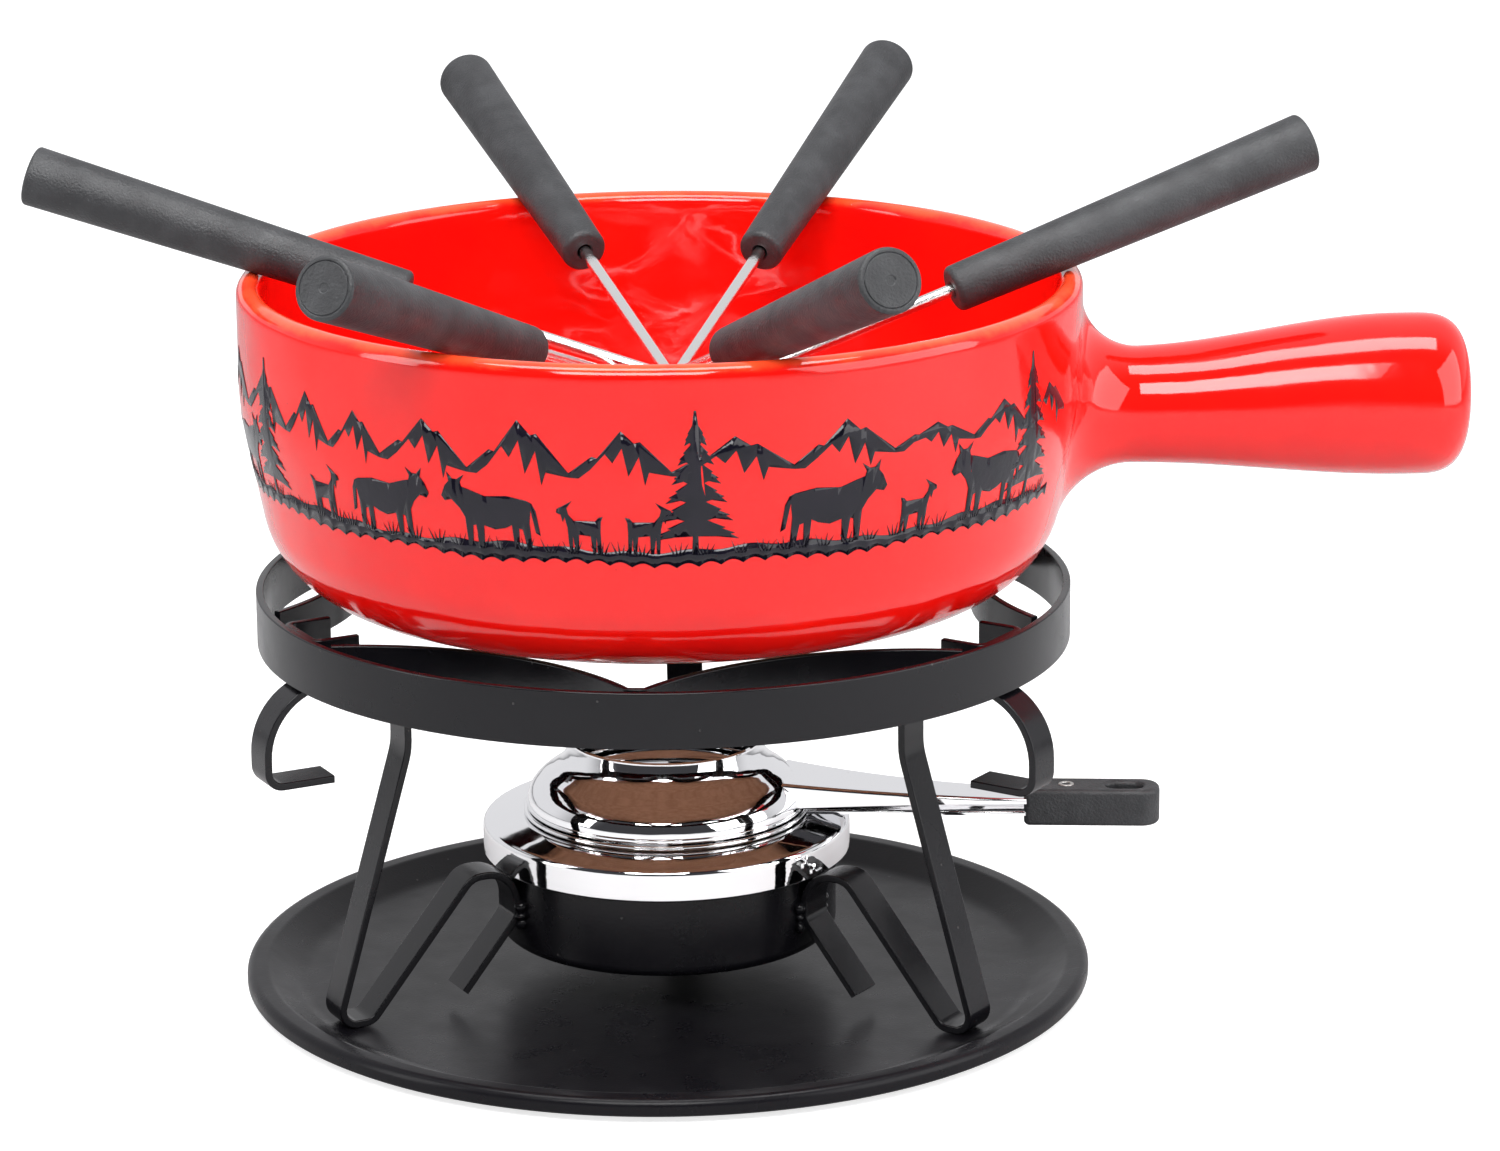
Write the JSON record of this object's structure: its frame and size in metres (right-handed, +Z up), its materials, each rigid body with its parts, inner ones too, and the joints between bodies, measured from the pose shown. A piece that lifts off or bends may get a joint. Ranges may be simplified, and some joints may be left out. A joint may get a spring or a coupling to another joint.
{
  "type": "fondue pot set",
  "caption": "Red glazed stoneware fondue pot with a side handle and dipping forks, on a black strip-steel stand over a paste burner and a round drip tray.",
  "frame": {"origin": "on the table, under the middle of the drip tray", "axes": "+Z up, +X along the pot's side handle"},
  "size_m": [0.3775, 0.3188, 0.2322],
  "materials": {
    "tray_black": "matte black enamel",
    "stand_black": "satin black powder coat",
    "chrome": "bright chrome plate",
    "gauze_steel": "plain steel",
    "red_glaze": "glossy red glaze",
    "fork_black": "matte dark grey moulded plastic",
    "fork_steel": "polished stainless steel"
  },
  "bodies": {
    "tray": {"drip_tray": "tray_black"},
    "stand": {"support_ring": "stand_black", "leg_left": "stand_black", "leg_bracket_left": "stand_black", "leg_right": "stand_black", "leg_bracket_right": "stand_black", "leg_rear": "stand_black", "leg_bracket_rear": "stand_black", "pot_rest_front": "stand_black", "pot_rest_back_left": "stand_black", "pot_rest_back_right": "stand_black", "burner_cup": "stand_black"},
    "burner": {"burner_pan": "chrome", "gauze_support": "gauze_steel", "burner_gauze": "gauze_steel"},
    "burner_head": {"regulator_plate": "chrome", "snuffer_dome": "chrome", "burner_grip": "fork_black", "grip_rivet_1": "gauze_steel", "grip_rivet_2": "gauze_steel"},
    "pot": {"fondue_pot": "red_glaze"},
    "fork_1": {"fork_handle_1": "fork_black", "fork_shaft_1": "fork_steel"},
    "fork_2": {"fork_handle_2": "fork_black", "fork_shaft_2": "fork_steel"},
    "fork_3": {"fork_handle_3": "fork_black", "fork_shaft_3": "fork_steel"},
    "fork_4": {"fork_handle_4": "fork_black", "fork_shaft_4": "fork_steel"},
    "fork_5": {"fork_handle_5": "fork_black", "fork_shaft_5": "fork_steel"},
    "fork_6": {"fork_handle_6": "fork_black", "fork_shaft_6": "fork_steel"}
  },
  "joints": [
    {"name": "stand_lift", "type": "slide", "parent": "tray", "child": "stand", "axis": [0, 0, 1], "range_m": [0, 0.06]},
    {"name": "burner_lift", "type": "slide", "parent": "stand", "child": "burner", "axis": [0, 0, 1], "range_m": [0, 0.026]},
    {"name": "regulator_turn", "type": "hinge", "parent": "burner", "child": "burner_head", "pos_m": [0, 0, 0.047], "axis": [0, 0, 1], "range_deg": [-15, 75]},
    {"name": "pot_lift", "type": "slide", "parent": "stand", "child": "pot", "axis": [0, 0, 1], "range_m": [0, 0.12]},
    {"name": "fork_1_draw", "type": "slide", "parent": "pot", "child": "fork_1", "axis": [-0.9459, 0.1583, 0.2833], "range_m": [0, 0.216]},
    {"name": "fork_2_draw", "type": "slide", "parent": "pot", "child": "fork_2", "axis": [-0.4386, -0.8319, 0.3399], "range_m": [0, 0.223]},
    {"name": "fork_3_draw", "type": "slide", "parent": "pot", "child": "fork_3", "axis": [-0.3336, 0.8924, 0.3039], "range_m": [0, 0.219]},
    {"name": "fork_4_draw", "type": "slide", "parent": "pot", "child": "fork_4", "axis": [0.3727, 0.8613, 0.3452], "range_m": [0, 0.217]},
    {"name": "fork_5_draw", "type": "slide", "parent": "pot", "child": "fork_5", "axis": [0.3439, -0.8687, 0.3564], "range_m": [0, 0.209]},
    {"name": "fork_6_draw", "type": "slide", "parent": "pot", "child": "fork_6", "axis": [0.908, 0.2828, 0.3092], "range_m": [0, 0.207]}
  ]
}
